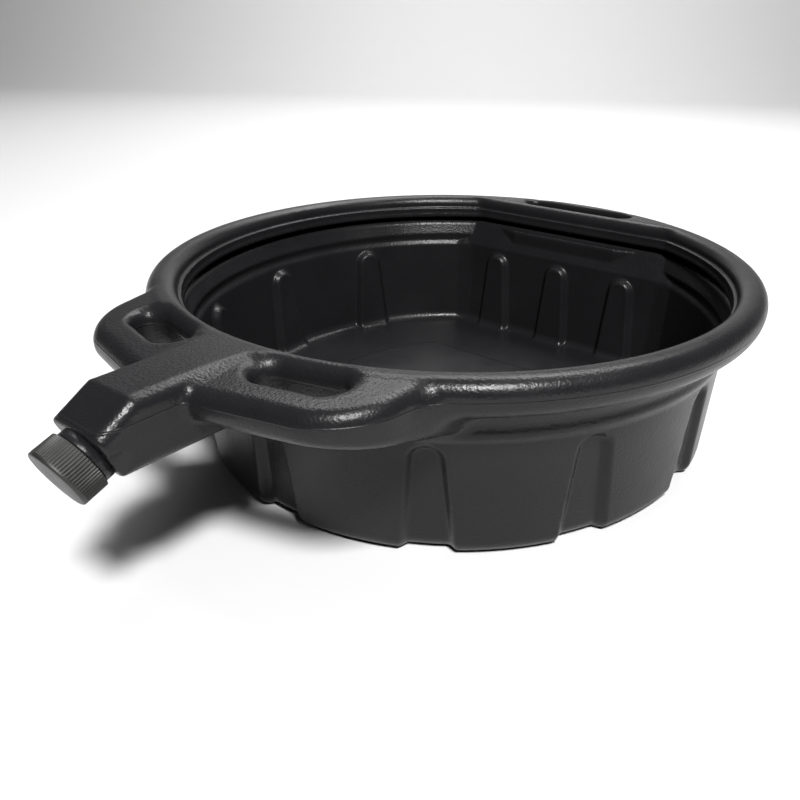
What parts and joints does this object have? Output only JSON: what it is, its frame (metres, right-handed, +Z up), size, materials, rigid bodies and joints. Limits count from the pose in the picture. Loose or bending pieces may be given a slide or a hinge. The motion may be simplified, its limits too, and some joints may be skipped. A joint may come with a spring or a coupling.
{
  "type": "oil drain pan",
  "caption": "Round black oil drain pan with fluted walls, rolled anti-splash rim, hand-hold lugs and a bent pour spout closed by a ribbed screw cap.",
  "frame": {"origin": "centre of the round basin's flat underside", "axes": "+Z up out of the basin, -Y along the pour spout, +Y to the rear hand-hold, +X to the right"},
  "size_m": [0.47, 0.5736, 0.1367],
  "materials": {
    "pan_plastic": "satin black, fine leather grain",
    "cap_plastic": "satin black",
    "liner_foam": "matt white foam"
  },
  "bodies": {
    "pan": {"basin": "pan_plastic", "splash_rim": "pan_plastic", "left_handle": "pan_plastic", "right_handle": "pan_plastic", "rear_handle": "pan_plastic", "pour_spout": "pan_plastic", "threaded_neck": "pan_plastic"},
    "liner": {"cap_liner": "liner_foam"},
    "cap": {"screw_cap": "cap_plastic"}
  },
  "joints": [
    {"name": "cap_advance", "type": "slide", "parent": "pan", "child": "liner", "axis": [0, -0.9336, -0.3584], "range_m": [0, 0.0091]},
    {"name": "cap_turn", "type": "hinge", "parent": "liner", "child": "cap", "pos_m": [0, -0.3145, 0.108], "axis": [0, -0.9336, -0.3584], "range_deg": [0, 810]}
  ],
  "couplings": [
    {"joint": "cap_advance", "follows": "cap_turn", "m_per_rad": 0.00063662}
  ]
}
